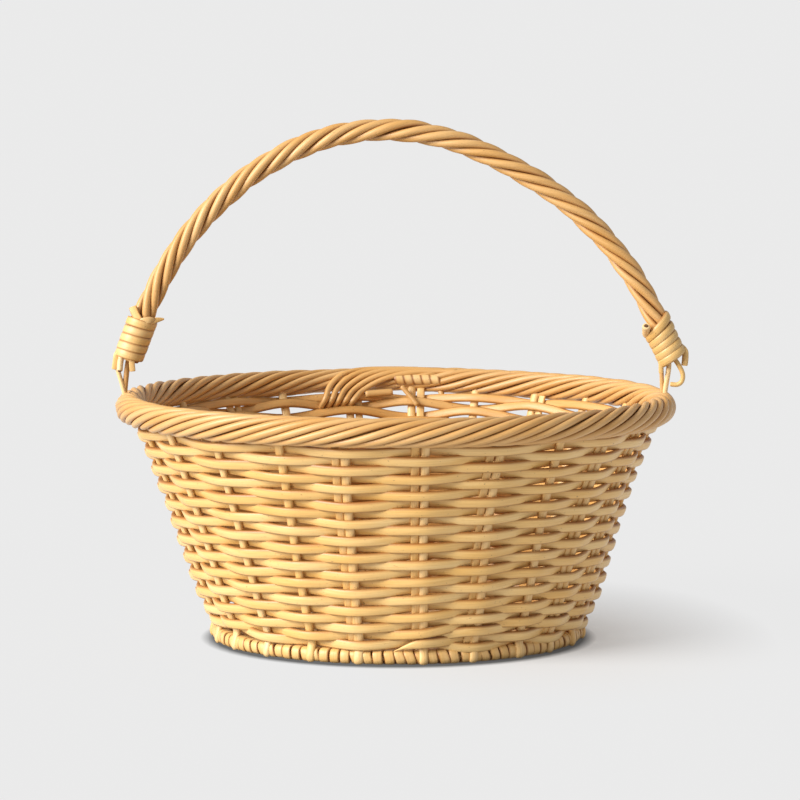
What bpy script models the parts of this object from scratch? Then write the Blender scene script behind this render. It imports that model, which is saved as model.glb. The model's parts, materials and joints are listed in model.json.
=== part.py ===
"""Woven willow basket with a swinging twisted handle.

The wall is plain weave: an odd number of upright stakes, with weavers that run
round the basket in one rising spiral, over one stake and under the next.  A
rolled rope border closes the top, a wrapped hoop and a woven mat close the
bottom.  The handle is a twisted rope bound at both ends, and it swings on two
thin loops that are threaded through the border.

Metres, +Z up.  The origin is the middle of the face the basket stands on, +X
runs from one handle foot to the other, and -Y is the front.
"""
import math

import bmesh
import bpy
from mathutils import Matrix, Vector

# ---- driving dimensions ------------------------------------------------------
STAKES = 23                 # odd, so the weave alternates from round to round
ROUNDS = 23
FIRST_STAKE = math.radians(4.2)     # the first stake stands this far right of the front
GAP = 0.0003                # clearance where two pieces touch

STAKE_RADIUS = 0.0023
WALL_FOOT_RADIUS = 0.0974   # stake centres at the floor
WALL_FLARE = 0.27           # outward slope of the wall at the floor
WALL_CURVE = 0.8            # growth of that slope, per metre of height, halved

WEAVER_HEIGHT = 0.0043
WEAVER_THICK = 0.0030
ROUND_PITCH = 0.00475
FIRST_ROUND_Z = 0.0093      # where the spiral starts, at the back

RIM_RADIUS = 0.1454         # middle of the rope border
RIM_Z = 0.1275
RIM_ROPE_RADIUS = 0.0076
RIM_TURNS = 7               # turns of the twist round the border
RIM_GROOVE = 0.0008         # depth of the grooves between its strands

HOOP_RADIUS = 0.0990
HOOP_ROD_RADIUS = 0.0033
MAT_THICK = 0.0034

HINGE_X = 0.1450            # handle loops, left and right of the middle
HINGE_Z = 0.1305
LOOP_ROD_RADIUS = 0.0011
LOOP_HALF_WIDTH = 0.0038
LOOP_BEND = 0.0014
LOOP_PLAY = 0.0005          # play round the loop where it is threaded through
SLOT_HALF_LENGTH = 0.0104   # room for the legs to swing, front to back

ARCH_RADIUS = 0.1450        # handle: nearly a half circle about (0, ARCH_Z)
ARCH_Z = 0.1320
SHOULDER_DROP = 0.0033      # how far the arch is flattened at its shoulders
FOOT_FLARE = 0.0050         # how far its feet spring outward
FOOT_FLARE_ANGLE = math.radians(14)
ARCH_LEAN = 0.0050          # the hand-bent arch leans to -X at its top
HANDLE_ROPE_RADIUS = 0.0062
HANDLE_PITCH = 0.0630       # length of one full twist
HANDLE_GROOVE = 0.0008
LOBES = 6                   # bulges of a rope's outline

BINDING_LOW = math.radians(7.5)     # where the bindings lie along the arch
BINDING_HIGH = math.radians(17.5)
BINDING_RADIUS = 0.0080
BINDING_TURNS = 5
BINDING_GROOVE = 0.0006
BORE_PLAY = 0.0004          # round the rope and the legs inside the binding
SOCKET_DEPTH = 0.0060

# ---- derived -----------------------------------------------------------------
STEP = 2 * math.pi / STAKES
WEAVE_OFFSET = STAKE_RADIUS + GAP + WEAVER_THICK / 2
STAKE_FOOT_Z = 2 * HOOP_ROD_RADIUS + 0.0004
STAKE_HEAD_Z = RIM_Z - RIM_ROPE_RADIUS - 0.0002
BACK = math.pi / 2

PALE = (0.80, 0.62, 0.36, 1)
WARM = (0.74, 0.53, 0.28, 1)
HONEY = (0.68, 0.46, 0.22, 1)

MODEL = "willow_basket"
GUIDES = "cutters_and_guides"


def clear_scene():
    for obj in list(bpy.data.objects):
        bpy.data.objects.remove(obj, do_unlink=True)
    for name in (MODEL, GUIDES):
        bpy.context.scene.collection.children.link(bpy.data.collections.new(name))


def willow(name, color, roughness=0.55):
    material = bpy.data.materials.new(name)
    material.use_nodes = True
    shader = material.node_tree.nodes["Principled BSDF"]
    shader.inputs["Base Color"].default_value = color
    shader.inputs["Roughness"].default_value = roughness
    shader.inputs["Metallic"].default_value = 0.0
    material.diffuse_color = color
    return material


def add(name, data, collection=MODEL):
    obj = bpy.data.objects.new(name, data)
    bpy.data.collections[collection].objects.link(obj)
    return obj


def as_guide(obj):
    obj.hide_render = True
    obj.display_type = "WIRE"
    return obj


def section(name, points):
    """A closed outline, used as the cross-section of rods; points run clockwise."""
    curve = bpy.data.curves.new(name, "CURVE")
    curve.dimensions = "2D"
    spline = curve.splines.new("POLY")
    spline.points.add(len(points) - 1)
    for point, (x, y) in zip(spline.points, points):
        point.co = (x, y, 0, 1)
    spline.use_cyclic_u = True
    return as_guide(add(name, curve, GUIDES))


def lobed_section(name, radius, groove):
    """The outline of a rope, with bulges and grooves."""
    corners = 2 * LOBES
    points = []
    for i in range(corners):
        angle = -2 * math.pi * i / corners
        r = radius if i % 2 == 0 else radius - groove
        points.append((r * math.cos(angle), r * math.sin(angle)))
    return section(name, points)


def rod(name, points, material, radius=0.0, shape=None, tilts=None, closed=False, twist="Z_UP"):
    """A rod along points: round with the radius, or with the section given."""
    curve = bpy.data.curves.new(name, "CURVE")
    curve.dimensions = "3D"
    curve.twist_mode = twist
    curve.use_fill_caps = not closed
    spline = curve.splines.new("POLY")
    spline.points.add(len(points) - 1)
    for i, co in enumerate(points):
        spline.points[i].co = (*co, 1)
        if tilts:
            spline.points[i].tilt = tilts[i]
    spline.use_cyclic_u = closed
    if shape:
        curve.bevel_mode = "OBJECT"
        curve.bevel_object = shape
    else:
        curve.bevel_depth = radius
        curve.bevel_resolution = 1
    curve.materials.append(material)
    return add(name, curve)


def as_mesh(obj):
    """The same piece as a welded mesh of triangles, which can be cut."""
    bpy.context.view_layer.update()
    evaluated = obj.evaluated_get(bpy.context.evaluated_depsgraph_get())
    mesh = bpy.data.meshes.new_from_object(evaluated)
    name, place = obj.name, obj.matrix_world.copy()
    bpy.data.objects.remove(obj, do_unlink=True)
    mesh.name = name
    bm = bmesh.new()
    bm.from_mesh(mesh)
    bmesh.ops.remove_doubles(bm, verts=bm.verts, dist=1e-6)
    bmesh.ops.recalc_face_normals(bm, faces=bm.faces)
    bmesh.ops.triangulate(bm, faces=bm.faces)
    bm.to_mesh(mesh)
    bm.free()
    solid = add(name, mesh)
    solid.matrix_world = place
    return solid


def box_cutter(name, low, high):
    mesh = bpy.data.meshes.new(name)
    bm = bmesh.new()
    size = Vector(high) - Vector(low)
    middle = (Vector(high) + Vector(low)) / 2
    place = Matrix.Translation(middle) @ Matrix.Diagonal((*size, 1))
    bmesh.ops.create_cube(bm, size=1, matrix=place)
    bm.to_mesh(mesh)
    bm.free()
    return as_guide(add(name, mesh, GUIDES))


def upright_to(along):
    """The turn that brings +Z to the direction of along."""
    return along.to_track_quat("Z", "X").to_matrix().to_4x4()


def add_cylinder(bm, sides, radius, depth, place):
    bmesh.ops.create_cone(
        bm, cap_ends=True, segments=sides, radius1=radius, radius2=radius, depth=depth, matrix=place
    )


def bar_cutter(name, start, end, radius, sides):
    mesh = bpy.data.meshes.new(name)
    along = end - start
    bm = bmesh.new()
    add_cylinder(bm, sides, radius, along.length, Matrix.Translation((start + end) / 2) @ upright_to(along))
    bm.to_mesh(mesh)
    bm.free()
    return as_guide(add(name, mesh, GUIDES))


def cut(obj, cutter):
    modifier = obj.modifiers.new("cut_" + cutter.name, "BOOLEAN")
    modifier.operation = "DIFFERENCE"
    modifier.object = cutter


# ---- wall --------------------------------------------------------------------
def wall_radius(z):
    """Radius of the stake centres at height z."""
    return WALL_FOOT_RADIUS + WALL_FLARE * z + WALL_CURVE * z * z


def wall_slope(z):
    """Angle of the wall away from upright at height z."""
    return math.atan(WALL_FLARE + 2 * WALL_CURVE * z)


def wall_point(angle, z, offset=0.0):
    """A point of the wall, offset outward square to it."""
    slope = wall_slope(z)
    r = wall_radius(z) + offset * math.cos(slope)
    return Vector((r * math.cos(angle), r * math.sin(angle), z - offset * math.sin(slope)))


def stake_angle(number):
    return -BACK + FIRST_STAKE + number * STEP


def make_stakes(material):
    levels = 6
    for k in range(STAKES):
        points = []
        for i in range(levels + 1):
            z = STAKE_FOOT_Z + (STAKE_HEAD_Z - STAKE_FOOT_Z) * i / levels
            points.append(wall_point(stake_angle(k), z))
        rod(f"stake_{k + 1:02d}", points, material, radius=STAKE_RADIUS, twist="MINIMUM")


def spiral_z(turned):
    """Height of the spiral after it has turned this far from the front."""
    return FIRST_ROUND_Z + ROUND_PITCH * (turned - math.pi) / (2 * math.pi)


def round_starts():
    """Stake number at which each round starts: the back, never twice in one place."""
    first = STAKES // 2 + 1
    starts = [first + STAKES * n + (2 * n) % 5 for n in range(ROUNDS)]
    return starts + [first + STAKES * ROUNDS]


def make_weavers(material):
    """One node a round; each round ends between two stakes at the back."""
    h, t = WEAVER_HEIGHT / 2, WEAVER_THICK / 2
    shape = section("weaver_section", [(-t, -h), (-t, h), (t, h), (t, -h)])
    starts = round_starts()
    for n in range(ROUNDS):
        points, tilts = [], []
        for count in range(starts[n] - 1, starts[n + 1] + 1):
            turned = count * STEP
            side = WEAVE_OFFSET if count % 2 == 0 else -WEAVE_OFFSET
            # straight past the stake, at full distance from it
            flat = 1.9 * STAKE_RADIUS / wall_radius(spiral_z(turned))
            for shift in (-flat, flat):
                z = spiral_z(turned + shift)
                points.append(wall_point(stake_angle(count) + shift, z, side))
                tilts.append(wall_slope(z))
        # both ends stop half-way between two stakes
        clear = (points[2] - points[1]).normalized() * GAP
        points[1] = (points[1] + points[2]) / 2 + clear
        points[-2] = (points[-3] + points[-2]) / 2 - clear
        rod(f"weaver_{n + 1:02d}", points[1:-1], material, shape=shape, tilts=tilts[1:-1])


# ---- bottom ------------------------------------------------------------------
def ring_points(radius, z, count):
    points = []
    for i in range(count):
        angle = -BACK + 2 * math.pi * i / count
        points.append(Vector((radius * math.cos(angle), radius * math.sin(angle), z)))
    return points


def make_bottom(hoop_material, mat_material):
    sides, segments = 8, 3 * STAKES
    outline = []
    for i in range(sides):
        angle = -(i + 0.5) * 2 * math.pi / sides
        corner = HOOP_ROD_RADIUS / math.cos(math.pi / sides)
        outline.append((corner * math.cos(angle), corner * math.sin(angle)))
    shape = section("hoop_section", outline)
    points = ring_points(HOOP_RADIUS, HOOP_ROD_RADIUS, segments)
    rod("base_hoop", points, hoop_material, shape=shape, closed=True)

    mesh = bpy.data.meshes.new("base_mat")
    bm = bmesh.new()
    radius = (HOOP_RADIUS - HOOP_ROD_RADIUS) * math.cos(math.pi / segments) - GAP
    add_cylinder(bm, segments, radius, MAT_THICK, Matrix.Translation((0, 0, MAT_THICK / 2)))
    bm.to_mesh(mesh)
    bm.free()
    mesh.materials.append(mat_material)
    add("base_mat", mesh)


# ---- rope border -------------------------------------------------------------
def make_rim(material):
    segments = 3 * STAKES
    shape = lobed_section("rim_section", RIM_ROPE_RADIUS, RIM_GROOVE)
    tilts = [2 * math.pi * RIM_TURNS * i / segments for i in range(segments)]
    points = ring_points(RIM_RADIUS, RIM_Z, segments)
    rim = as_mesh(rod("rim_rope", points, material, shape=shape, tilts=tilts, closed=True))

    # a slot for each leg of the loops, and a tunnel between the two for the bend
    reach = LOOP_ROD_RADIUS + LOOP_PLAY
    floor_z, roof_z = HINGE_Z - reach, HINGE_Z + reach
    above = RIM_Z + 2 * RIM_ROPE_RADIUS
    for side, word in ((-1, "left"), (1, "right")):
        for hand, place in ((-1, "inner"), (1, "outer")):
            x = side * HINGE_X + side * hand * LOOP_HALF_WIDTH
            low = (x - reach - GAP, -SLOT_HALF_LENGTH, floor_z)
            high = (x + reach + GAP, SLOT_HALF_LENGTH, above)
            cut(rim, box_cutter(f"slot_{word}_{place}", low, high))
        x = side * HINGE_X
        low = (x - LOOP_HALF_WIDTH, -reach - GAP, floor_z + 0.0001)
        high = (x + LOOP_HALF_WIDTH, reach + GAP, roof_z)
        cut(rim, box_cutter(f"tunnel_{word}", low, high))


# ---- handle ------------------------------------------------------------------
def arch_point(angle):
    """The handle's centre line, from angle 0 at +X over the top to pi at -X."""
    foot = min(angle, math.pi - angle)
    flare = FOOT_FLARE * math.exp(-((foot / FOOT_FLARE_ANGLE) ** 2))
    r = ARCH_RADIUS - SHOULDER_DROP * math.sin(2 * angle) ** 2 + flare
    fade = min(1.0, max(0.0, (foot - BINDING_HIGH) / BINDING_HIGH))
    lean = ARCH_LEAN * fade * math.sin(angle) ** 3
    return Vector((r * math.cos(angle) - lean, 0, ARCH_Z + r * math.sin(angle)))


def binding_axis(side):
    """Lower and upper end of a binding; side is +1 at +X and -1 at -X.

    Its upper half lies along the rope, its lower half goes straight on below it.
    """
    high = arch_point(BINDING_HIGH)
    low = 2 * arch_point((BINDING_LOW + BINDING_HIGH) / 2) - high
    return Vector((side * low.x, 0, low.z)), Vector((side * high.x, 0, high.z))


def make_handle_rope(material):
    segments = 60
    start = (BINDING_LOW + BINDING_HIGH) / 2
    sweep = math.pi - 2 * start
    points = [arch_point(start + sweep * i / segments) for i in range(segments + 1)]
    tilts, run = [0.0], 0.0
    for a, b in zip(points, points[1:]):
        run += (b - a).length
        tilts.append(2 * math.pi * run / HANDLE_PITCH)
    shape = lobed_section("handle_section", HANDLE_ROPE_RADIUS, HANDLE_GROOVE)
    rod("handle_rope", points, material, shape=shape, tilts=tilts, twist="MINIMUM")


def loop_legs(side):
    """Points of both legs of a loop, from the rim up into the binding."""
    low, high = binding_axis(side)
    up = (high - low).normalized()
    across = Vector((up.z, 0, -up.x))
    legs = []
    for hand in (-1, 1):
        foot = Vector((side * HINGE_X + hand * LOOP_HALF_WIDTH, 0, HINGE_Z))
        mouth = low + across * hand * LOOP_HALF_WIDTH
        legs.append((foot, mouth, mouth + up * SOCKET_DEPTH))
    return legs


def loop_bend(foot, inward, first):
    """A quarter bend from a leg into the bar that lies in the border."""
    centre = foot + Vector((inward * LOOP_BEND, 0, LOOP_BEND))
    points = []
    for degrees in (first, first + 45, first + 90):
        angle = math.radians(degrees)
        points.append(centre + LOOP_BEND * Vector((math.cos(angle), 0, math.sin(angle))))
    return points


def make_loops(material):
    above_rim = Vector((0, 0, RIM_Z + RIM_ROPE_RADIUS + 0.002 - HINGE_Z))
    for side, word in ((-1, "left"), (1, "right")):
        (foot_a, mouth_a, end_a), (foot_b, mouth_b, end_b) = loop_legs(side)
        points = [end_a, mouth_a, foot_a + above_rim]
        points += loop_bend(foot_a, 1, 180)
        points += loop_bend(foot_b, -1, 270)
        points += [foot_b + above_rim, mouth_b, end_b]
        rod(f"handle_loop_{word}", points, material, radius=LOOP_ROD_RADIUS, twist="MINIMUM")


def sleeve_outline(name, length):
    """Half the outline of a binding, with one ridge for each turn of its rod."""
    mesh = bpy.data.meshes.new(name)
    bm = bmesh.new()
    halves = 2 * BINDING_TURNS
    outline = [(0.0, length)]
    for i in range(halves, -1, -1):
        groove = BINDING_GROOVE if i % 2 == 0 else 0.0
        outline.append((BINDING_RADIUS - groove, length * i / halves))
    outline.append((0.0, 0.0))
    verts = [bm.verts.new((x, 0, z)) for x, z in outline]
    for a, b in zip(verts, verts[1:]):
        bm.edges.new((a, b))
    bm.to_mesh(mesh)
    bm.free()
    return mesh


def make_bindings(material):
    """A turned sleeve on each foot, with a bore for the rope and two sockets."""
    steps = 16
    for side, word in ((-1, "left"), (1, "right")):
        low, high = binding_axis(side)
        up = (high - low).normalized()
        mesh = sleeve_outline(f"handle_binding_{word}", (high - low).length)
        mesh.materials.append(material)
        sleeve = add(f"handle_binding_{word}", mesh)
        sleeve.matrix_world = Matrix.Translation(low) @ upright_to(up)
        screw = sleeve.modifiers.new("turned", "SCREW")
        screw.axis = "Z"
        screw.angle = 2 * math.pi
        screw.steps = screw.render_steps = steps
        screw.use_merge_vertices = True
        screw.merge_threshold = 0.00001

        # the rope ends half-way up the binding, the legs a little way in
        bore_floor, bore_top = (low + high) / 2 - up * 2 * GAP, high + up * 0.003
        bore_radius = HANDLE_ROPE_RADIUS + BORE_PLAY
        cut(sleeve, bar_cutter(f"bore_{word}", bore_floor, bore_top, bore_radius, steps))
        for number, (foot, mouth, end) in enumerate(loop_legs(side)):
            below, top = mouth - up * 0.002, end + up * 2 * GAP
            socket = bar_cutter(f"socket_{word}_{number}", below, top, LOOP_ROD_RADIUS + BORE_PLAY, 8)
            cut(sleeve, socket)


def main():
    clear_scene()
    make_stakes(willow("stake_willow", WARM))
    make_weavers(willow("weaver_willow", PALE))
    make_bottom(willow("hoop_willow", PALE), willow("mat_willow", WARM, 0.65))
    make_rim(willow("rim_willow", HONEY, 0.5))
    make_handle_rope(willow("handle_willow", PALE, 0.5))
    make_loops(willow("loop_willow", PALE, 0.5))
    make_bindings(willow("binding_willow", PALE, 0.5))


main()
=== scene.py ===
"""Looks of the woven willow basket: every rod as a rod, in natural peeled willow."""

import json
import math

import bpy
import numpy as np
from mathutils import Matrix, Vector


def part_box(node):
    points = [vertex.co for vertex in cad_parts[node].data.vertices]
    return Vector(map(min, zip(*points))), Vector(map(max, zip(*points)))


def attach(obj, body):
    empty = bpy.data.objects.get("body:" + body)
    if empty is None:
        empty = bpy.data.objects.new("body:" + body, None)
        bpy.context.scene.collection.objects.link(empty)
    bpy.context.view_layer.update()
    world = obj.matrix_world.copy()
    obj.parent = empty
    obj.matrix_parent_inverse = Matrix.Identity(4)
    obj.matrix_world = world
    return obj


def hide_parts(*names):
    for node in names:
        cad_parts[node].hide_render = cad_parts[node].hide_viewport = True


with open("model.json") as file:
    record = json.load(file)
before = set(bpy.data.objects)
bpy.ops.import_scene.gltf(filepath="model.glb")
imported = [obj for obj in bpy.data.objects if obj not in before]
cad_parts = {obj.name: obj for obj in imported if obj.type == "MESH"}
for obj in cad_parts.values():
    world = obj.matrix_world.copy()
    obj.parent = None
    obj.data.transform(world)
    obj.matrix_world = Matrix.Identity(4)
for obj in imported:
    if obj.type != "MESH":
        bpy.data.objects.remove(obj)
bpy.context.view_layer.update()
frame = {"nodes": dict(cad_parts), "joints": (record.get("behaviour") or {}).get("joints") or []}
RANDOM = np.random.default_rng(23)      # seeded: each run makes the same basket

# ---- what the CAD says -------------------------------------------------------
RIM_LOW, RIM_HIGH = (np.array(corner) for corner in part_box("rim_rope"))
RIM_ROPE_RADIUS = (RIM_HIGH[2] - RIM_LOW[2]) / 2
RIM_RADIUS = (RIM_HIGH[1] - RIM_LOW[1]) / 2 - RIM_ROPE_RADIUS
RIM_Z = (RIM_HIGH[2] + RIM_LOW[2]) / 2
HOOP_LOW, HOOP_HIGH = (np.array(corner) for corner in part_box("base_hoop"))
HOOP_ROD_RADIUS = (HOOP_HIGH[2] - HOOP_LOW[2]) / 2
HOOP_RADIUS = (HOOP_HIGH[1] - HOOP_LOW[1]) / 2 - HOOP_ROD_RADIUS
HINGE = next(j for j in frame["joints"] if j["name"] == "handle_swing")
HINGE_Z = HINGE["pos_m"][2]

STAKES = sum(1 for name in frame["nodes"] if name.startswith("stake_"))
ROUNDS = sum(1 for name in frame["nodes"] if name.startswith("weaver_"))
STEP = 2 * math.pi / STAKES
FIRST_STAKE = math.radians(4.2)
BACK = math.pi / 2

WALL_FOOT_RADIUS = 0.0974       # the wall's curve, as in the CAD
WALL_FLARE = 0.27
WALL_CURVE = 0.8
SETBACK = 0.0006                # wall and foot lie this far inside the CAD's circles
BELLY = 0.0028                  # how far the wall bulges low down
BELLY_RIGHT = 0.0014            # and how much more at the right
FIRST_ROUND_Z = 0.0102
ROUND_PITCH = 0.00475
STAKE_WIDTH, STAKE_THICK = 0.0050, 0.0032
SPLIT_WIDTH, SPLIT_THICK = 0.0043, 0.0018
WEAVER_THICK = 0.0027
WEAVER_HEIGHT = 0.0056
WEAVE_OFFSET = 0.0032           # how far a weaver swings out and in of the wall
WEAVE_DROP = 0.45               # how much of the wall's slope that swing follows
WEAVE_TOP = 0.1172              # where the last rounds are pressed together
NET_LOW = 0.096                 # above it the weave is loose at the back
MEAN_RADIUS = 0.12
FOOT_HEIGHT = 0.0078            # the hoop with its wrapping
FOOT_ASIDE = 0.0014             # the foot sits a little to the right of the mouth
FOOT_TURNS = 109
FOOT_ROD_WIDTH, FOOT_ROD_THICK = 0.0053, 0.0017

ARCH_RADIUS = 0.1450            # the handle's curve, as in the CAD
ARCH_Z = 0.1320
SHOULDER_DROP = 0.0033
FOOT_FLARE = 0.0050
FOOT_FLARE_ANGLE = math.radians(14)
ARCH_LEAN = 0.0050
BINDING_HIGH = math.radians(17.5)

HANDLE_STRANDS = 5
HANDLE_STRAND = 0.0046          # thickness of one of them
HANDLE_PITCH = 0.072
HANDLE_START = math.radians(9)
RIM_STRANDS = 9
RIM_STRAND = 0.0038
RIM_TURNS = 7 + 5 / 9           # each strand ends where another one starts
BUNDLE_AT = math.radians(97)    # where the rods that start the border lie over it
BUNDLE_SPAN = math.radians(17)

CUT_BEVEL = 0.30                # a cut end narrows over this part of its half thickness
CUT_SHRINK = 0.80               # to this part of its size


# ---- rods --------------------------------------------------------------------
def unit(vectors):
    return vectors / np.linalg.norm(vectors, axis=-1, keepdims=True)


def clamp(t):
    return np.clip(t, 0, 1)


def smooth(t):
    t = clamp(t)
    return t * t * (3 - 2 * t)


def hump(t, centre, span):
    return np.exp(-(((t - centre) / span) ** 2))


def smooth_noise(count, scale, periodic=False):
    """Seeded noise of about +-1 along a rod; scale is samples to a wave."""
    knots = max(4, int(round(count / scale)))
    values = RANDOM.uniform(-1, 1, knots + 3)
    if periodic:
        values[knots:] = values[:3]
    at = np.arange(count) * knots / count
    i = at.astype(int)
    f = smooth(at - i)
    return values[i] * (1 - f) + values[i + 1] * f


class Rods:
    """Collects rods into one mesh. Each point keeps its place along its rod."""

    def __init__(self):
        self.points, self.faces, self.grain, self.tone = [], [], [], []
        self.count = 0

    def add(self, path, side, width, thick, sides=12, closed=False, square=2.2, tone=None):
        """Sweeps a flattened round section along path; thick lies along side.

        square is 2 for an ellipse and more for flatter faces. tone, from 0 pale
        to 1 dark, is drawn at random where it isn't given.
        """
        path = np.asarray(path, float)
        n = len(path)
        if closed:
            tangent = np.roll(path, -1, 0) - np.roll(path, 1, 0)
            steps = np.linalg.norm(path - np.roll(path, 1, 0), axis=1)
        else:
            tangent = np.gradient(path, axis=0)
            steps = np.linalg.norm(np.diff(path, axis=0, prepend=path[:1]), axis=1)
        tangent = unit(tangent)
        along = np.cumsum(steps) + RANDOM.uniform(0, 5)
        side = np.broadcast_to(np.asarray(side, float), path.shape)
        normal = unit(side - (side * tangent).sum(1)[:, None] * tangent)
        across = np.cross(tangent, normal)
        width = np.broadcast_to(np.asarray(width, float), n) / 2
        thick = np.broadcast_to(np.asarray(thick, float), n) / 2
        angle = 2 * math.pi * np.arange(sides) / sides
        c, s = np.cos(angle), np.sin(angle)
        c = np.sign(c) * np.abs(c) ** (2 / square)
        s = np.sign(s) * np.abs(s) ** (2 / square)
        rings = [(path[i], i, 1.0) for i in range(n)]
        if not closed:
            first = path[0] - tangent[0] * thick[0] * CUT_BEVEL
            last = path[-1] + tangent[-1] * thick[-1] * CUT_BEVEL
            rings = [(first, 0, CUT_SHRINK)] + rings + [(last, n - 1, CUT_SHRINK)]
        index = np.array([ring[1] for ring in rings])
        scale = np.array([ring[2] for ring in rings])[:, None, None]
        centre = np.array([ring[0] for ring in rings])[:, None, :]
        spread = (
            thick[index][:, None, None] * c[None, :, None] * normal[index][:, None, :]
            + width[index][:, None, None] * s[None, :, None] * across[index][:, None, :]
        )
        points = centre + scale * spread
        grain = np.empty_like(points)
        grain[:, :, 0] = along[index][:, None]
        grain[:, :, 1] = thick[index][:, None] * c[None, :]
        grain[:, :, 2] = width[index][:, None] * s[None, :]
        m = len(rings)
        a = np.arange(m if closed else m - 1)
        b = (a + 1) % m
        j = np.arange(sides)
        k = (j + 1) % sides
        quads = np.stack(
            [
                a[:, None] * sides + j,
                a[:, None] * sides + k,
                b[:, None] * sides + k,
                b[:, None] * sides + j,
            ],
            axis=-1,
        ).reshape(-1, 4)
        self.faces += (quads + self.count).tolist()
        if not closed:
            self.faces.append([self.count + int(i) for i in j[::-1]])
            self.faces.append([self.count + (m - 1) * sides + int(i) for i in j])
        self.points.append(points.reshape(-1, 3))
        self.grain.append(grain.reshape(-1, 3))
        shade = RANDOM.uniform(0, 1) if tone is None else tone
        self.tone.append(np.full(m * sides, shade))
        self.count += m * sides

    def build(self, name, material, body, slot, *nodes):
        """Makes the piece, which rides on body and replaces the CAD nodes given."""
        mesh = bpy.data.meshes.new(name)
        points = np.concatenate(self.points)
        mesh.from_pydata(points.tolist(), [], self.faces)
        mesh.attributes.new("grain", "FLOAT_VECTOR", "POINT").data.foreach_set(
            "vector", np.concatenate(self.grain).astype(np.float32).ravel()
        )
        mesh.attributes.new("tone", "FLOAT", "POINT").data.foreach_set(
            "value", np.concatenate(self.tone).astype(np.float32)
        )
        mesh.shade_smooth()
        mesh.set_sharp_from_angle(angle=math.radians(50))
        mesh.materials.append(material)
        obj = bpy.data.objects.new(name, mesh)
        bpy.context.scene.collection.objects.link(obj)
        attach(obj, body)
        if nodes:
            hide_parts(*nodes)
        return obj


# ---- willow ------------------------------------------------------------------
def link(tree, source, target):
    tree.links.new(source, target)


def node(tree, kind, **settings):
    made = tree.nodes.new(kind)
    for key, value in settings.items():
        if key in made.inputs:
            made.inputs[key].default_value = value
        else:
            setattr(made, key, value)
    return made


def stretched(tree, grain, scale):
    """Multiplies a place by scale, part by part."""
    mapping = node(tree, "ShaderNodeVectorMath", operation="MULTIPLY")
    mapping.inputs[1].default_value = scale
    link(tree, grain, mapping.inputs[0])
    return mapping.outputs[0]


def noise(tree, vector, detail, rough=0.5):
    made = node(tree, "ShaderNodeTexNoise")
    made.inputs["Scale"].default_value = 1.0
    made.inputs["Detail"].default_value = detail
    made.inputs["Roughness"].default_value = rough
    link(tree, vector, made.inputs["Vector"])
    return made.outputs["Fac"]


def ramp(tree, value, low, high, a, b):
    """Goes from a to b while value goes from low to high."""
    made = node(tree, "ShaderNodeMapRange")
    for key, number in (("From Min", low), ("From Max", high), ("To Min", a), ("To Max", b)):
        made.inputs[key].default_value = number
    link(tree, value, made.inputs["Value"])
    return made.outputs["Result"]


def mix(tree, factor, a, b, blend="MIX"):
    made = node(tree, "ShaderNodeMix", data_type="RGBA", blend_type=blend)
    for socket, value in ((made.inputs[0], factor), (made.inputs[6], a), (made.inputs[7], b)):
        if isinstance(value, (tuple, float, int)):
            socket.default_value = value
        else:
            link(tree, value, socket)
    return made.outputs[2]


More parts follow.
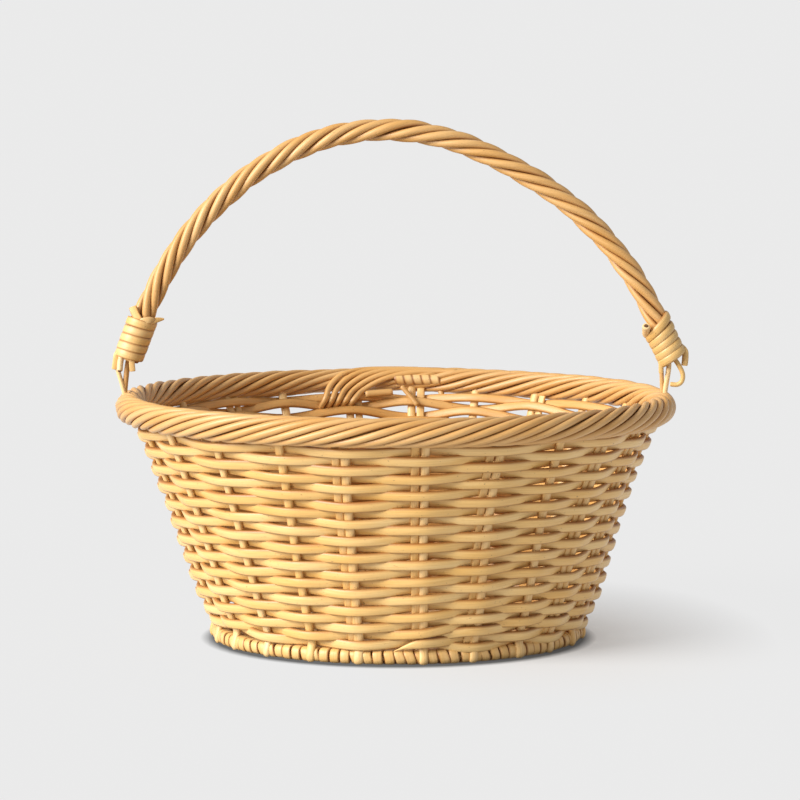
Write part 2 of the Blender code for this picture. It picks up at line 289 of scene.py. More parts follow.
def willow(name, pale, honey, rough=0.46, warmth=0.5, crease_shade=None):
    """Peeled willow: long streaks, patches of honey, fine specks, small wrinkles.

    Painted shade in creases, if asked for, darkens a rod where its neighbours press on it
    and shade it: "inner" for the strands of a rope, towards its middle, or "edges" for
    flat rods, whose inner face gets painted shade too. With it comes where it starts and
    where it is strongest, in metres from the rod's own middle.
    """
    material = bpy.data.materials.new(name)
    material.use_nodes = True
    tree = material.node_tree
    shader = tree.nodes["Principled BSDF"]
    grain = node(tree, "ShaderNodeAttribute", attribute_name="grain").outputs["Vector"]
    tone = node(tree, "ShaderNodeAttribute", attribute_name="tone").outputs["Fac"]

    patches = noise(tree, stretched(tree, grain, (28, 160, 160)), detail=3.0)
    streaks = noise(tree, stretched(tree, grain, (60, 2200, 2200)), detail=3.0, rough=0.6)
    specks = noise(tree, stretched(tree, grain, (700, 1100, 1100)), detail=1.0)
    wrinkles = noise(tree, stretched(tree, grain, (1500, 260, 260)), detail=1.0)

    colour = mix(tree, ramp(tree, tone, 0.0, 1.0, 0.0, warmth), pale, honey)
    colour = mix(tree, ramp(tree, patches, 0.42, 0.72, 0.0, 0.75), colour, honey)
    darker = tuple(0.72 * value for value in honey[:3]) + (1,)
    colour = mix(tree, ramp(tree, streaks, 0.50, 0.78, 0.0, 0.55), colour, darker)
    lighter = tuple(min(1.0, 1.10 * value) for value in pale[:3]) + (1,)
    colour = mix(tree, ramp(tree, streaks, 0.45, 0.25, 0.0, 0.45), colour, lighter)
    colour = mix(tree, ramp(tree, specks, 0.735, 0.77, 0.0, 0.6), colour, BARK)
    # painted shade: the rod darkens towards the creases where neighbouring rods shade it
    if crease_shade:
        where, start, full = crease_shade
        parts = node(tree, "ShaderNodeSeparateXYZ")
        link(tree, grain, parts.inputs[0])
        depth = parts.outputs["Y"]
        if where == "edges":
            depth = node(tree, "ShaderNodeMath", operation="ABSOLUTE")
            link(tree, parts.outputs["Z"], depth.inputs[0])
            depth = depth.outputs[0]
        colour = mix(tree, ramp(tree, depth, start, full, 0.0, 0.9), colour, CREASE_SHADE, "MULTIPLY")
        # painted shade on the inner face of flat rods, which gets less light inside the wall
        if where == "edges":
            inside = ramp(tree, parts.outputs["Y"], 0.0, -0.0009, 0.0, 0.75)
            colour = mix(tree, inside, colour, INNER_FACE_SHADE, "MULTIPLY")
    link(tree, colour, shader.inputs["Base Color"])

    roughness = ramp(tree, streaks, 0.3, 0.7, rough - 0.06, rough + 0.10)
    link(tree, roughness, shader.inputs["Roughness"])
    shader.inputs["Specular IOR Level"].default_value = 0.42
    shader.inputs["Coat Weight"].default_value = 0.50
    shader.inputs["Coat Roughness"].default_value = 0.45

    ridges = node(tree, "ShaderNodeMath", operation="MULTIPLY_ADD")
    link(tree, streaks, ridges.inputs[0])
    ridges.inputs[1].default_value = 1.3
    link(tree, wrinkles, ridges.inputs[2])
    bump = node(tree, "ShaderNodeBump", Strength=0.35, Distance=0.00018)
    link(tree, ridges.outputs[0], bump.inputs["Height"])
    link(tree, bump.outputs["Normal"], shader.inputs["Normal"])
    return material


PALE = (0.80, 0.535, 0.215, 1)
HONEY = (0.72, 0.395, 0.09, 1)
CREAM = (0.78, 0.56, 0.29, 1)
STRAW = (0.84, 0.58, 0.27, 1)
SAND = (0.74, 0.49, 0.215, 1)
WHEAT = (0.77, 0.50, 0.22, 1)
OAT = (0.74, 0.50, 0.25, 1)
GOLD = (0.69, 0.455, 0.185, 1)
AMBER = (0.62, 0.35, 0.085, 1)
ROPE = (0.655, 0.395, 0.155, 1)
DEEP = (0.58, 0.285, 0.062, 1)
BROWN = (0.58, 0.27, 0.045, 1)
DARK = (0.34, 0.15, 0.035, 1)
BARK = (0.20, 0.09, 0.03, 1)
# painted shade: a colour multiplied in where rods meet and shade each other, and one multiplied
# into the inner face of flat rods
CREASE_SHADE = (0.40, 0.20, 0.06, 1)
INNER_FACE_SHADE = (0.78, 0.62, 0.45, 1)
ROPE_CREASE_SHADE = ("inner", 0.0010, -0.0006)

# weavers, ropes, bindings and the foot get painted shade where their neighbours meet them
WEAVER = willow("willow_weaver", PALE, HONEY, warmth=0.55, crease_shade=("edges", 0.0016, 0.0029))
STAKE = willow("willow_stake", STRAW, HONEY, rough=0.52)
RIM = willow("willow_rim", ROPE, DEEP, crease_shade=ROPE_CREASE_SHADE)
HANDLE = willow("willow_handle", ROPE, DEEP, crease_shade=ROPE_CREASE_SHADE)
BINDING = willow("willow_binding", SAND, HONEY, rough=0.48, crease_shade=("edges", 0.0014, 0.0024))
GOLDEN = willow("willow_golden", GOLD, AMBER, rough=0.48, crease_shade=("edges", 0.0017, 0.0027))
LOOP = willow("willow_loop", CREAM, PALE, rough=0.5, warmth=0.3)
FOOT = willow("willow_foot", WHEAT, HONEY, rough=0.5, crease_shade=("edges", 0.0018, 0.0028))
MAT = willow("willow_mat", OAT, BROWN, rough=0.55)
# painted shade: near-black colour for the shaded inside of a hollow cut end
HOLE_SHADE = willow("painted_hole_shade", (0.14, 0.06, 0.015, 1), (0.08, 0.03, 0.01, 1), rough=0.8)
CORE = willow("willow_core", BROWN, DARK, rough=0.7)


# ---- wall --------------------------------------------------------------------
def wall_radius(z):
    """The wall's radius at height z: a curved flare, with a belly low down."""
    belly = BELLY * smooth((z - 0.004) / 0.026) * (1 - smooth((z - 0.034) / 0.086))
    return WALL_FOOT_RADIUS - SETBACK + WALL_FLARE * z + WALL_CURVE * z * z + belly


def wall_slope(z):
    return np.arctan(WALL_FLARE + 2 * WALL_CURVE * z)


def around(angle, r, z):
    """Points at radius r and height z round the basket's axis."""
    return np.stack([r * np.cos(angle), r * np.sin(angle), z], -1)


def wall_normal(angle, z):
    slope = wall_slope(z)
    return around(angle, np.cos(slope), -np.sin(slope))


def wall_point(angle, z, offset, drop=1.0):
    """A point of the wall, offset outward; drop is 1 square to it and 0 level.

    The foot stands aside of the mouth, and the lower wall is fuller at the right.
    """
    slope = drop * wall_slope(z)
    r = wall_radius(z) + offset * np.cos(slope)
    x = r * np.cos(angle) + FOOT_ASIDE * (1 - smooth(z / 0.10))
    fuller = BELLY_RIGHT * clamp(np.cos(angle)) * smooth(z / 0.012)
    x = x + fuller * (1 - smooth((z - 0.015) / 0.07))
    return np.stack([x, r * np.sin(angle), z - offset * np.sin(slope)], -1)


def stake_angle(count):
    return -BACK + FIRST_STAKE + count * STEP


# how far each stake stands aside at its top and its foot, in degrees, most of all
# in front, and which ones have a split rod beside them
TOP_SHIFT = RANDOM.uniform(-0.9, 0.9, STAKES)
FOOT_SHIFT = TOP_SHIFT + RANDOM.uniform(-0.5, 0.5, STAKES)
for stake, top_shift, foot_shift in (
    (19, 0.3, -1.4), (20, 0.4, -0.3), (21, 1.9, 0.2), (22, 0.9, 0.0),
    (0, 2.4, 3.5), (1, 3.3, 3.5), (2, 2.5, 3.9), (3, 2.2, 2.0), (4, 1.2, 1.2),
):
    TOP_SHIFT[stake], FOOT_SHIFT[stake] = top_shift, foot_shift
TWINNED = {0, 1, 3, 4, 6, 9, 11, 12, 14, 17, 22}


def stake_shift(z):
    """Each stake's shift at height z, in radians."""
    up = clamp(z / 0.12)
    return np.radians(FOOT_SHIFT + (TOP_SHIFT - FOOT_SHIFT) * up)


def stakes_passed(count, z):
    """Count along the wall, at height z, in stakes as they really stand."""
    places = np.arange(-1, STAKES + 2)
    real = places + stake_shift(z)[places % STAKES] / STEP
    turns = np.floor(count / STAKES) * STAKES
    return turns + np.interp(count - turns, real, places)


def make_stakes():
    z = np.concatenate([np.linspace(0.0021, 0.0120, 10), np.linspace(0.0145, 0.1240, 44)])
    for k in range(STAKES):
        rods = Rods()
        wander = smooth_noise(len(z), 14) * 0.0005
        shift = np.array([stake_shift(height)[k] for height in z])
        angle = stake_angle(k) + shift + wander / MEAN_RADIUS
        # its foot turns outward over the hoop, and its tip back in
        foot = 0.0042 * smooth((0.0115 - z) / 0.0085)
        curl = 0.0016 * clamp((0.004 - z) / 0.004) ** 2
        path = wall_point(angle, z, smooth_noise(len(z), 9) * 0.00015 + foot - curl)
        width = STAKE_WIDTH * (1 + 0.05 * smooth_noise(len(z), 12)) * RANDOM.uniform(0.92, 1.04)
        rods.add(path, wall_normal(angle, z), width, STAKE_THICK, square=2.3)
        if k in TWINNED:
            high = z[z > 0.010]
            beside = angle[z > 0.010] - (0.0036 + 0.015 * high) / wall_radius(high)
            path = wall_point(beside, high, smooth_noise(len(high), 10) * 0.0003 - 0.0004)
            width = SPLIT_WIDTH * (1 + 0.08 * smooth_noise(len(high), 12))
            rods.add(path, wall_normal(beside, high), width, SPLIT_THICK, square=3.0, tone=0.9)
        number = f"{k + 1:02d}"
        rods.build(f"stake_rod_{number}", STAKE, "basket", "stake_willow", f"stake_{number}")


def seam_lift(angle, z):
    """The first rods start in front and push the rounds above them up there."""
    turned = (angle + BACK + math.radians(14)) / (2 * math.pi) % 1
    fall = clamp((turned - 0.12) / 0.88)
    lift = (smooth(turned / 0.10) - fall - 0.45) * 0.0048 * clamp(1 - z / 0.105)
    low = np.exp(-clamp(z - 0.0128) / 0.006)
    ridge = 0.0028 * low * smooth((turned - 0.055) / 0.044)
    return lift + ridge * (1 - smooth((turned - 0.2) / 0.4))


def over_and_under(passed):
    """Between +1 outside a stake and -1 inside it, as a stiff rod bends."""
    swing = np.cos(math.pi * passed)
    return 0.4 * swing + 0.6 * 2 / math.pi * np.arcsin(0.96 * swing)


def make_weavers():
    """One rod a round, over and under; neighbours ride up and down together.

    count is the place along the whole spiral, in stakes from the one in front.
    """
    first = STAKES // 2 + 1     # the rods' ends lie at the back
    starts = [first + STAKES * n + (2 * n) % 5 for n in range(ROUNDS)] + [first + STAKES * ROUNDS]
    per_stake = 12
    drift = RANDOM.uniform(-1, 1, (ROUNDS // 4 + 3, STAKES))
    for n in range(ROUNDS):
        begin, end = starts[n] - 0.80, starts[n + 1] - 0.20
        if n == 0:
            begin = -0.34       # the first rod starts in front, with a pointed tip
        if n == ROUNDS - 1:
            end += 5.0          # the last one laps over its own start
        count = np.linspace(begin, end, int((end - begin) * per_stake))
        passed = stakes_passed(count, FIRST_ROUND_Z + ROUND_PITCH * n)

        # a slow drift up and down that a round shares with the rounds beside it
        whole = np.floor(count).astype(int)
        part = smooth(count - whole)
        level = np.clip(count / STAKES / 4, 0, drift.shape[0] - 2)
        row = level.astype(int)
        blend = level - row

        def field(row_index):
            a = drift[row_index, whole % STAKES]
            b = drift[row_index, (whole + 1) % STAKES]
            return a * (1 - part) + b * part

        sway = field(row) * (1 - blend) + field(row + 1) * blend
        own = smooth_noise(len(count), per_stake * 0.9)

        # the spiral, lifted by the short rod below it and then by its own seam
        z = FIRST_ROUND_Z + ROUND_PITCH * (count / STAKES - 0.5)
        edge = clamp((z - 0.006) / 0.012) * clamp((0.118 - z) / 0.012)
        angle = stake_angle(count)
        over_short_rod = 1 - smooth((count - 15) / 7)
        z = z + 0.0044 * over_short_rod + seam_lift(angle, z) * (1 - over_short_rod)
        z = z - 0.0053 * clamp(-passed / 0.5) ** 1.6    # the pointed tip points down
        z = z + 0.0007 * sway * edge + 0.00022 * own
        # at the back the top rounds sag and wave from stake to stake, like a net
        net = clamp((z - NET_LOW) / 0.012) * smooth(2.2 * np.sin(angle))
        z = z - net * (0.0010 + 0.0016 * np.cos(math.pi * passed))
        z = np.minimum(z, WEAVE_TOP + 0.25 * clamp(z - WEAVE_TOP))

        wave = over_and_under(passed)
        offset = WEAVE_OFFSET * wave + 0.00022 * smooth_noise(len(count), per_stake * 1.3)
        # ends are thinner, and lie outside and inside the ends of the next rods
        from_end = np.minimum(count - begin, end - count)
        apart = clamp(1 - from_end / 0.8)
        offset = offset + np.where(count - begin < end - count, 0.0011, -0.0011) * apart
        size = 1 + 0.07 * smooth_noise(len(count), per_stake * 5) + RANDOM.uniform(-0.04, 0.03)
        taper = 1 - 0.55 * clamp(1 - from_end / 0.55) ** 1.5
        if n == 0:
            taper = taper * np.clip((count - begin) / 0.45, 0.10, 1)
        width = WEAVER_HEIGHT * size * taper * (1.08 - 0.09 * np.abs(wave))
        fuller = 0.07 * clamp(np.sin(angle)) * (z < 0.095)
        width = width * (1 + fuller - 0.10 * net)
        thick = WEAVER_THICK * size * np.sqrt(taper)
        path = wall_point(angle, z, offset, drop=WEAVE_DROP)
        rods = Rods()
        rods.add(path, wall_normal(angle, z), width, thick, square=2.7)
        number = f"{n + 1:02d}"
        rods.build(f"weaver_round_{number}", WEAVER, "basket", "weaver_willow", f"weaver_{number}")

    # a short rod under the first one, woven the other way about
    count = np.linspace(0.05, 15.4, 176)
    passed = stakes_passed(count, FIRST_ROUND_Z)
    angle = stake_angle(count)
    z = 0.0085 + 0.0028 * smooth(1 - passed / 0.9) + 0.0016 * smooth((count - 3) / 6)
    z = z + 0.0002 * smooth_noise(len(count), 11)
    ends = np.minimum(count - count[0], count[-1] - count)
    taper = 1 - 0.6 * clamp(1 - ends / 0.6)
    path = wall_point(angle, z, -WEAVE_OFFSET * over_and_under(passed), drop=WEAVE_DROP)
    width, thick = WEAVER_HEIGHT * taper, WEAVER_THICK * taper
    rods = Rods()
    rods.add(path, wall_normal(angle, z), width, thick, square=2.3)
    rods.build("weaver_short_start", WEAVER, "basket", "weaver_willow")


# ---- foot and bottom ---------------------------------------------------------
def make_foot():
    """Thin rod wound closely round the foot hoop."""
    rods = Rods()
    per_turn = 20
    middle = HOOP_RADIUS - SETBACK
    t = np.arange(FOOT_TURNS * per_turn)
    ring = 2 * math.pi * (t % per_turn) / per_turn

    def wander(turns):
        return smooth_noise(len(t), per_turn * turns, periodic=True)

    # straight across the outer face, and on to the next turn at the inner one
    spread = 2 * math.pi * t / len(t) - np.sin(ring) / FOOT_TURNS
    slack = wander(0.8)
    squash = 1 + 0.05 * wander(1.7)
    radius = (FOOT_HEIGHT / 2 - 0.0008) * (1 + 0.06 * slack)
    corner = 2.9                # the wrapping's outline is a circle with fuller corners
    fuller = 1 / (np.abs(np.cos(ring)) ** corner + np.abs(np.sin(ring)) ** corner) ** (1 / corner)
    out = np.cos(ring) * radius * fuller
    up = np.sin(ring) * radius * fuller * squash
    lean = 0.26 * wander(1.6) - 0.16
    aside = 0.0008 * wander(0.9) + lean * up
    angle = spread + aside / HOOP_RADIUS
    path = around(angle, middle + out, FOOT_HEIGHT / 2 + up)
    width = FOOT_ROD_WIDTH * (1 + 0.10 * wander(1.1))
    path[:, 0] += FOOT_ASIDE
    rods.add(path, rim_side(angle, ring), width, FOOT_ROD_THICK, closed=True, square=3.2)

    angle = 2 * math.pi * np.arange(180) / 180
    hoop = around(angle, middle, 0 * angle + HOOP_ROD_RADIUS)
    hoop[:, 0] += FOOT_ASIDE
    rods.add(hoop, (0, 0, 1), 0.0034, 0.0034, sides=8, closed=True, tone=0.9)
    rods.build("foot_wrapping", FOOT, "basket", "hoop_willow", "base_hoop")


def make_mat():
    """Crossed sticks, splayed into arms, with thin rods woven round them."""
    rods = Rods()
    level, reach = 0.0030, HOOP_RADIUS - 0.0020
    sticks, stick_pitch, stick_lift = 5, 0.0036, 0.0010
    for group in range(2):
        for i in range(sticks):
            from_middle = i - (sticks - 1) / 2
            spread = from_middle / sticks * math.pi / 2
            run = np.linspace(-1, 1, 61)
            bend = smooth((np.abs(run) - 0.12) / 0.25)
            along = reach * run
            x = along * (1 - bend) + along * np.cos(spread) * bend
            y = from_middle * stick_pitch * (1 - bend) + np.abs(along) * np.sin(spread) * bend
            z = level + (stick_lift if group else -stick_lift) * (1 - bend)
            path = np.stack([x, y, z] if group else [-y, x, z], -1)
            path[:, 0] += FOOT_ASIDE
            rods.add(path, (0, 0, 1), 0.0031, 0.0021, sides=10, square=2.4)

    arms = 4 * sticks
    steps = arms * 8
    angle = 2 * math.pi * np.arange(steps) / steps
    lift, pitch = 0.00125, 0.0031
    radius, ring = 0.0150, 0
    while radius < reach - 0.002:
        wave = np.cos(arms / 2 * angle + (math.pi if ring % 2 else 0))
        wobble = 0.0003 * smooth_noise(steps, 14, periodic=True)
        path = around(angle, radius + wobble, level + lift * wave)
        path[:, 0] += FOOT_ASIDE
        width = 0.0030 * (1 + 0.06 * smooth_noise(steps, 22, periodic=True))
        rods.add(path, (0, 0, 1), width, 0.0019, sides=8, closed=True, square=2.3)
        radius += pitch
        ring += 1
    rods.build("base_weaving", MAT, "basket", "mat_willow", "base_mat")


# ---- rope border -------------------------------------------------------------
def turned_from(angle, start):
    """The turn from start to angle, between half a turn back and half a turn on."""
    return (angle - start + math.pi) % (2 * math.pi) - math.pi


def rim_frame(angle, ring, radius):
    """Points on the border's rope: angle round the basket, ring round the rope.

    It lies a little lower towards the back, beside where its rods begin, and
    stands out a little at the right.
    """
    dip = 0.0011 * (0.5 + 0.5 * np.sin(angle)) * (1 - hump(turned_from(angle, BACK), 0, 0.35))
    r = RIM_RADIUS + 0.0007 * clamp(np.cos(angle)) + radius * np.cos(ring)
    return around(angle, r, RIM_Z - dip + radius * np.sin(ring))


def rim_side(angle, ring):
    """The direction straight out of the rope, or of the foot hoop, at ring."""
    return around(angle, np.cos(ring), np.sin(ring))


def make_rim():
    """Strands that start and end at the back, where the next ones take over."""
    samples = 380
    start, lap = BUNDLE_AT, math.radians(3)
    angle = np.linspace(start - lap, start + 2 * math.pi + lap, samples)
    edge = np.minimum(angle - angle[0], angle[-1] - angle)
    under_bundle = np.exp(-((turned_from(angle, BUNDLE_AT) / BUNDLE_SPAN) ** 4))
    for k in range(RIM_STRANDS):
        phase = 2 * math.pi * k / RIM_STRANDS
        sway = 0.07 * smooth_noise(samples, 30) * clamp(edge / 0.2)
        ring = phase + RIM_TURNS * (angle - start) + sway
        lift = 0.00022 * smooth_noise(samples, 20)
        inner = 0.5 - 0.5 * np.cos(ring - 0.2)
        radius = RIM_ROPE_RADIUS - RIM_STRAND / 2 + 0.0002 + lift - 0.0020 * under_bundle * inner
        size = RIM_STRAND * (1 + 0.05 * smooth_noise(samples, 44) + RANDOM.uniform(-0.04, 0.03))
        size = size * (1 - 0.3 * clamp(1 - edge / lap))
        rods = Rods()
        rods.add(rim_frame(angle, ring, radius), rim_side(angle, ring), size, size, square=2.0)
        nodes = ("rim_rope",) if k == 0 else ()
        rods.build(f"rim_strand_{k + 1:02d}", RIM, "basket", "rim_willow", *nodes)
    core = Rods()
    angle = 2 * math.pi * np.arange(160) / 160
    path = rim_frame(angle, 0 * angle, 0 * angle)
    core.add(path, (0, 0, 1), 0.0078, 0.0078, sides=10, closed=True)
    core.build("rim_core", CORE, "basket", "rim_willow")


def back_point(x, z, inside):
    """A point at the back of the mouth, inside the wall by that much."""
    return around(BACK - x / RIM_RADIUS, wall_radius(z) - inside, z)


def make_rim_ends():
    """At the back five rods rise from inside the wall and lie over the border's start."""
    rods = Rods()
    for i in range(5):
        t = np.linspace(0, 1, 44)
        x0 = -0.0468 + 0.0043 * i
        length = 0.052 + 0.0035 * i
        x = x0 + length * t ** (1.38 - 0.03 * i)
        ease = np.sin(clamp(t * (1.25 - 0.06 * i)) * math.pi / 2)
        ring = math.radians(222) - math.radians(134 - 7.0 * i) * ease
        angle = BACK - x / RIM_RADIUS
        path = rim_frame(angle, ring, RIM_ROPE_RADIUS - 0.0016 + 0.0022 * (1 - ease) ** 2)
        path[:, 2] -= 0.0085 * (1 - ease) ** 1.5
        inward = 0.0054 * hump(t, 0.08, 0.09)
        path[:, :2] *= (1 - inward / RIM_RADIUS)[:, None]
        rods.add(path, rim_side(angle, ring), 0.0035, 0.0034)
    rods.build("rim_start_rods", RIM, "basket", "rim_willow")

    # short turns of flat rod round the bare core beside them
    wraps = Rods()
    turns, per_turn = 5, 20
    t = np.arange(turns * per_turn + 1)
    angle = math.radians(90.0) - math.radians(10.8) * t / len(t)
    centre = rim_frame(angle, 0 * angle + math.radians(174), 0.0043)
    ring = 2 * math.pi * t / per_turn
    radial = rim_side(angle, ring)
    wraps.add(centre + 0.0025 * radial, radial, 0.0059, 0.0014, square=2.8)
    wraps.build("rim_core_wrapping", BINDING, "basket", "rim_willow")

    # each from one x, z to another, with how far inside the wall and how thick
    ends = Rods()
    for low, high, inside, size in (
        ((-0.0180, 0.1200), (-0.0022, 0.1211), 0.0062, 0.0042),
        ((0.0042, 0.1240), (0.0138, 0.1142), 0.0058, 0.0028),
        ((0.0325, 0.1040), (0.0265, 0.1235), -0.0010, 0.0034),
    ):
        t = np.linspace(0, 1, 14)
        x = low[0] + (high[0] - low[0]) * t
        z = low[1] + (high[1] - low[1]) * t
        side = wall_normal(BACK - x / RIM_RADIUS, z)
        ends.add(back_point(x, z, inside), side, size, size * 0.9)
    ends.build("rim_tucked_ends", GOLDEN, "basket", "rim_willow")


# ---- handle ------------------------------------------------------------------
def arch_point(angle):
    """The handle's centre line; bent by hand, so its right foot stands further out."""
    foot = np.minimum(angle, math.pi - angle)       # the turn up from the nearer foot
    flare = FOOT_FLARE * hump(foot, 0, FOOT_FLARE_ANGLE)
    r = ARCH_RADIUS - SHOULDER_DROP * np.sin(2 * angle) ** 2 + flare
    fade = clamp((foot - BINDING_HIGH) / BINDING_HIGH)
    lean = ARCH_LEAN * np.sin(angle) ** 3 * fade
    right = 0.0044 * np.cos(angle) ** 2 - 0.0026 * hump(angle, 1.15, 0.25)
    left = 0.0016 * hump(foot, 0, 0.33)
    lean = lean - np.where(angle < math.pi / 2, right, left)
    z = ARCH_Z + r * np.sin(angle) + 0.0008 * np.sin(angle) ** 2
    return np.stack([r * np.cos(angle) - lean, 0 * angle, z], -1)


def spline(t, values):
    """Smooth curve through values at whole t, running straight on at its ends."""
    count = len(values)
    i = np.clip(np.floor(t).astype(int), 0, count - 2)
    f = t - i
    before, after = 2 * values[0] - values[1], 2 * values[-1] - values[-2]
    padded = np.concatenate([[before], values, [after]])
    a, b, c, d = padded[i], padded[i + 1], padded[i + 2], padded[i + 3]
    return b + 0.5 * f * (c - a + f * (2 * a - 5 * b + 4 * c - d + f * (3 * (b - c) + d - a)))


def curve_through(points, count):
    knots = np.array(points, float)
    t = np.linspace(0, len(knots) - 1, count)
    return np.stack([spline(t, knots[:, i]) for i in range(3)], -1)


def hollow_rod(name, hole_name, path, size):
    """A rod whose far end is cut open and shows its pith hole, as a dark disc of painted shade."""
    side = (0.2, 0, 1)
    stub = Rods()
    stub.add(path, side, size, size, sides=18, square=2.0, tone=0.1)
    stub.build(name, LOOP, "handle", "binding_willow")
    tangent = unit(path[-1] - path[-2])
    end = path[-1] + tangent * size * CUT_BEVEL / 2
    # painted shade: a dark disc over the cut end stands in for the shaded inside of the pith hole
    disc = np.stack([end, end + tangent * 0.00022])
    hole = Rods()
    hole.add(disc, side, size * 0.56, size * 0.48, sides=14, square=2.0)
    hole.build(hole_name, HOLE_SHADE, "handle", "binding_willow")


class Binding:
    """A frame on the axis of a binding, from low to high in metres.

    Its points are in millimetres: x right, y to the front and z up the axis.
    """

    def __init__(self, low, high):
        self.low, self.high = np.array(low), np.array(high)
        self.up = unit(self.high - self.low)
        self.front = np.array([0, -1.0, 0])
        self.right = np.cross(self.up, self.front)

    def place(self, x, y, z):
        return self.low + (self.right * x + self.front * y + self.up * z) * 0.001

    def curve(self, points, count=28):
        return curve_through([self.place(*point) for point in points], count)

    def coil(self, heights, radii):
        """A helix through the given heights at its front, one for each turn."""
        turns, per_turn = len(heights) - 1, 40
        t = np.linspace(0, turns, turns * per_turn + 1)
        ring = 2 * math.pi * t
        radial = np.sin(ring)[:, None] * self.right + np.cos(ring)[:, None] * self.front
        height = spline(t, np.array(heights, float)) * 0.001
        radius = spline(t, np.array(radii, float)) * 0.001
        return self.low + self.up * height[:, None] + radial * radius[:, None], radial


LEFT_BINDING = Binding((-0.1457, 0, 0.1537), (-0.1377, 0, 0.1747))
RIGHT_BINDING = Binding((0.1517, 0, 0.1535), (0.1414, 0, 0.1746))


def make_handle():
    """Strands laid round a core into a left-handed rope, and bent into the arch."""
    samples = 360
    angle = np.linspace(math.pi - HANDLE_START, HANDLE_START, samples)
    centre = arch_point(angle)
    tangent = unit(np.gradient(centre, axis=0))
    across = np.array([0, 1.0, 0])
    outward = np.cross(tangent, across)
    run = np.cumsum(np.linalg.norm(np.diff(centre, axis=0, prepend=centre[:1]), axis=1))
    for k in range(HANDLE_STRANDS):
        turn = -2 * math.pi * (k / HANDLE_STRANDS + run / HANDLE_PITCH)
        turn = turn + 0.12 * smooth_noise(samples, 32)
        radial = np.cos(turn)[:, None] * outward - np.sin(turn)[:, None] * across
        uneven = 0.05 * smooth_noise(samples, 60) + RANDOM.uniform(-0.05, 0.05)
        size = HANDLE_STRAND * (1 + uneven)
        radius = 0.0039 + 0.00015 * smooth_noise(samples, 24)
        rods = Rods()
        rods.add(centre + radius[:, None] * radial, radial, size, size, sides=14, square=2.0)
        nodes = ("handle_rope",) if k == 0 else ()
        rods.build(f"handle_strand_{k + 1}", HANDLE, "handle", "handle_willow", *nodes)
    core = Rods()
    core.add(centre, across, 0.0044, 0.0044, sides=8)
    core.build("handle_core", CORE, "handle", "handle_willow")


def make_left_binding():
    """Flat split rod, wound five times and tucked into a knot."""
    knot, rods = LEFT_BINDING, Rods()
    heights = [-0.8, 1.6, 6.1, 10.6, 15.2, 19.9, 22.1]
    radii = [7.2, 7.5, 7.7, 7.7, 7.7, 7.8, 7.5]
    path, radial = knot.coil(heights, radii)
    rods.add(path[18:-14], radial[18:-14], 0.0047, 0.0012, sides=14, square=3.6)
    packing = knot.curve([(0, 0, 0.5), (0, 0, 20.8)])
    rods.add(packing, knot.front, 0.0142, 0.0142, sides=20, tone=0.8)

    # the two bands of the knot, its pointed tip and two ends below
    tip = knot.curve([(3.6, 5.4, 22.0), (6.2, 5.2, 24.1), (8.6, 4.2, 25.6), (10.6, 3.4, 26.6)])
    tip_width = np.linspace(0.0044, 0.0006, len(tip)) ** 0.7 * 0.0040 ** 0.3
    for path, width, thick, square in (
        (knot.curve([(1.5, 6.0, 19.6), (-1.7, 6.6, 21.6), (-5.2, 5.4, 24.4), (-7.4, 4.0, 26.8)]),
         0.0044, 0.0013, 3.4),
        (knot.curve([(6.4, 4.6, 23.4), (4.2, 6.6, 23.6), (1.4, 7.2, 22.3), (-0.4, 6.6, 20.3)]),
         0.0042, 0.0016, 3.0),
        (tip, tip_width, 0.0012, 3.2),
        (knot.curve([(2.4, 5.8, 1.2), (2.9, 5.6, -1.8), (4.8, 5.2, -5.9)]), 0.0032, 0.0014, 3.4),
        (knot.curve([(-5.2, 3.4, 1.5), (-6.2, 3.0, -1.8), (-4.9, 2.4, -8.6)]), 0.0032, 0.0018, 3.0),
    ):
        rods.add(path, knot.front, width, thick, sides=14, square=square)
    rods.build("handle_binding_flat", BINDING, "handle", "binding_willow", "handle_binding_left")

    end = knot.curve([(-3.9, 4.6, 0.8), (-3.2, 4.8, -3.6), (-1.9, 6.9, -7.8)], 16)
    hollow_rod("handle_stub_left", "handle_stub_left_hole_shade", end, 0.0034)


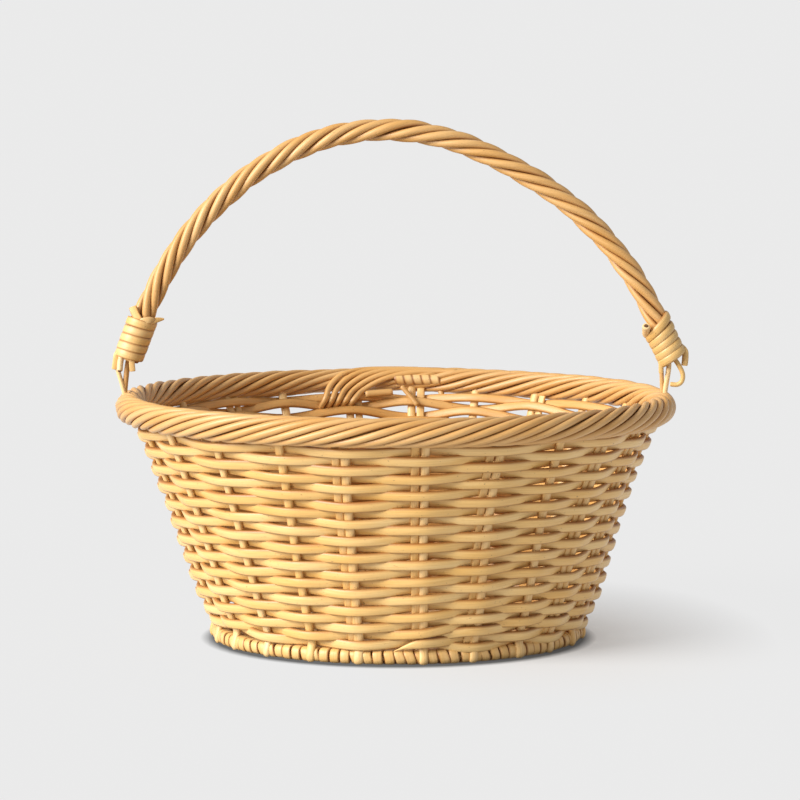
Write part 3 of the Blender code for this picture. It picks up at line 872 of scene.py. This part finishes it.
def make_right_binding():
    """Round rod, coiled, with an open cut end."""
    knot, rods = RIGHT_BINDING, Rods()
    heights = [-1.2, 0.9, 4.9, 9.1, 13.4, 18.2, 23.2]
    radii = [6.5, 6.9, 6.8, 6.8, 7.0, 7.3, 7.6]
    path, radial = knot.coil(heights, radii)
    # the turns slope, more so towards the top
    rise = clamp((path - knot.low) @ knot.up / 0.026)
    path = path + knot.up * (radial @ knot.right)[:, None] * (0.0006 + 0.0036 * rise[:, None] ** 2)
    rods.add(path[22:-22], radial[22:-22], 0.0050, 0.0032, sides=16, square=2.6)
    packing = knot.curve([(0, 0, 0.5), (0, 0, 18.0)])
    rods.add(packing, knot.front, 0.0118, 0.0118, sides=18, tone=0.8)
    thick_end = knot.curve([(6.4, -1.0, 4.0), (7.6, 0.8, 0.4), (6.4, 1.8, -2.8), (4.2, 2.0, -6.4)])
    rods.add(thick_end, knot.front, 0.0036, 0.0034, sides=14, square=2.3)
    thin_end = knot.curve([(-6.6, 3.0, 1.0), (-8.2, 3.0, -2.2), (-9.2, 3.0, -4.6)])
    rods.add(thin_end, knot.front, 0.0026, 0.0018, square=2.8)
    rods.build("handle_binding_round", GOLDEN, "handle", "binding_willow", "handle_binding_right")

    points = [(-6.2, -1.0, 16.6), (-7.2, 1.8, 18.0), (-6.6, 5.2, 20.0), (-5.7, 8.4, 22.3)]
    end = knot.curve(points, 20)
    hollow_rod("handle_stub_right", "handle_stub_right_hole_shade", end, 0.0044)

    spare = Rods()
    points = [
        (0.4, 3.0, 0.0), (1.2, 3.4, -5.0), (1.1, 3.6, -10.2),
        (-0.9, 3.4, -13.6), (-3.9, 3.0, -14.4), (-7.1, 2.2, -12.8),
    ]
    spare.add(knot.curve(points, 56), knot.front, 0.0026, 0.0026, square=2.0)
    spare.build("handle_spare_loop", GOLDEN, "handle", "loop_willow")


# for each handle foot: where the loop crosses the border, then for its front and
# its rear leg x and y in the binding's frame, the shift beside the hinge, and size
LOOPS = (
    ("left", LEFT_BINDING, -0.1476, ((-6.6, 0.8, -0.0010, 0.0025), (0.6, -0.8, -0.0004, 0.0030))),
    ("right", RIGHT_BINDING, 0.1473, ((-3.6, 1.2, 0.0006, 0.0028), (-8.0, -0.6, -0.0010, 0.0024))),
)


def make_loops():
    """A thin rod from the binding down through the border and back up: a narrow V."""
    top = RIM_Z + RIM_ROPE_RADIUS
    for word, knot, hinge_x, legs in LOOPS:
        for (x, y, shift, size), ending, material in zip(legs, ("", "_rear"), (LOOP, GOLDEN)):
            points = [
                knot.place(x * 0.7, y, 3.0),
                knot.place(x, y, -3.0),
                np.array([hinge_x + shift, y * -0.0005, top + 0.0004]),
                np.array([hinge_x + shift * 0.6, 0, HINGE_Z]),
            ]
            rods = Rods()
            rods.add(curve_through(points, 40), (0, 1, 0), size, size, square=2.0)
            nodes = () if ending else (f"handle_loop_{word}",)
            name = f"handle_thin_loop_{word}{ending}"
            rods.build(name, material, "handle", "loop_willow", *nodes)


# ---- studio ------------------------------------------------------------------
WORLD_LIGHT = 0.48
KEY_LIGHT = 5.3
KEY_HEADING = Vector((1.0, 0.60, -0.56))
FLOOR_ALBEDO = 0.43
FLOOR_GREY = 0.826              # what the floor shows in full light
FLOOR_LIGHT = WORLD_LIGHT - KEY_LIGHT * KEY_HEADING.normalized().z / math.pi
FLOOR_REACH = 3000.0
SHADE_CENTRE = (0.085, -0.003, 0)      # where the shadow falls, to the right
CONTACT_SHADOW_CENTRE = (0.002, -0.004, 0)    # where the foot keeps the light off: centre of the painted contact shadow
CAMERA_PLACE = (0.0027, -2.180, 0.349)
CAMERA_DOWN = math.radians(5.736)


def distance(tree, place, point):
    made = node(tree, "ShaderNodeVectorMath", operation="DISTANCE")
    link(tree, place, made.inputs[0])
    made.inputs[1].default_value = point
    return made.outputs["Value"]


def make_studio():
    scene = bpy.context.scene
    scene.view_settings.view_transform = "Standard"

    signs = ((-1, -1), (1, -1), (1, 1), (-1, 1))
    corners = [(x * FLOOR_REACH, y * FLOOR_REACH, 0) for x, y in signs]
    mesh = bpy.data.meshes.new("studio_floor")
    mesh.from_pydata(corners, [], [(0, 1, 2, 3)])
    floor = bpy.data.objects.new("studio_floor", mesh)
    scene.collection.objects.link(floor)
    material = bpy.data.materials.new("studio_paper")
    material.use_nodes = True
    tree = material.node_tree
    shader = tree.nodes["Principled BSDF"]
    shader.inputs["Roughness"].default_value = 1.0
    shader.inputs["Specular IOR Level"].default_value = 0.0
    shader.inputs["Emission Color"].default_value = (1, 1, 1, 1)

    # shadows show near the basket and fade out; all of it is one grey in full light
    place = node(tree, "ShaderNodeTexCoord").outputs["Object"]
    wide = stretched(tree, place, (1, 0.55, 1))
    shade = ramp(tree, distance(tree, wide, SHADE_CENTRE), 0.025, 0.125, FLOOR_ALBEDO, 0.02)
    # painted contact shadow: floor colour and glow darkened in a ring round the foot
    painted_contact_shadow = ramp(tree, distance(tree, place, CONTACT_SHADOW_CENTRE), 0.1015, 0.1090, 0.18, 1.0)
    albedo = node(tree, "ShaderNodeMath", operation="MULTIPLY")
    link(tree, shade, albedo.inputs[0])
    link(tree, painted_contact_shadow, albedo.inputs[1])
    link(tree, albedo.outputs[0], shader.inputs["Base Color"])
    glow = node(tree, "ShaderNodeMath", operation="MULTIPLY_ADD")
    link(tree, shade, glow.inputs[0])
    glow.inputs[1].default_value = -FLOOR_LIGHT
    glow.inputs[2].default_value = FLOOR_GREY
    # the glow is dimmed by the painted contact shadow too
    dimmed = node(tree, "ShaderNodeMath", operation="MULTIPLY")
    link(tree, glow.outputs[0], dimmed.inputs[0])
    link(tree, painted_contact_shadow, dimmed.inputs[1])
    link(tree, dimmed.outputs[0], shader.inputs["Emission Strength"])
    mesh.materials.append(material)

    world = bpy.data.worlds.new("studio_world")
    scene.world = world
    world.use_nodes = True
    background = world.node_tree.nodes["Background"]
    background.inputs["Color"].default_value = (1.0, 1.0, 1.0, 1)
    background.inputs["Strength"].default_value = WORLD_LIGHT

    lamp = bpy.data.lights.new("key_light", "SUN")
    lamp.energy = KEY_LIGHT
    lamp.angle = math.radians(38)
    lamp.color = (1.0, 0.985, 0.96)
    key = bpy.data.objects.new("key_light", lamp)
    scene.collection.objects.link(key)
    key.rotation_euler = KEY_HEADING.to_track_quat("-Z", "Y").to_euler()

    lens = bpy.data.cameras.new("camera")
    lens.sensor_width = 36
    lens.lens = 180
    lens.clip_end = 9000
    camera = bpy.data.objects.new("camera", lens)
    scene.collection.objects.link(camera)
    camera.location = CAMERA_PLACE
    camera.rotation_euler = (math.pi / 2 - CAMERA_DOWN, 0, 0)
    scene.camera = camera


make_studio()
make_stakes()
make_weavers()
make_foot()
make_mat()
make_rim()
make_rim_ends()
make_handle()
make_left_binding()
make_right_binding()
make_loops()
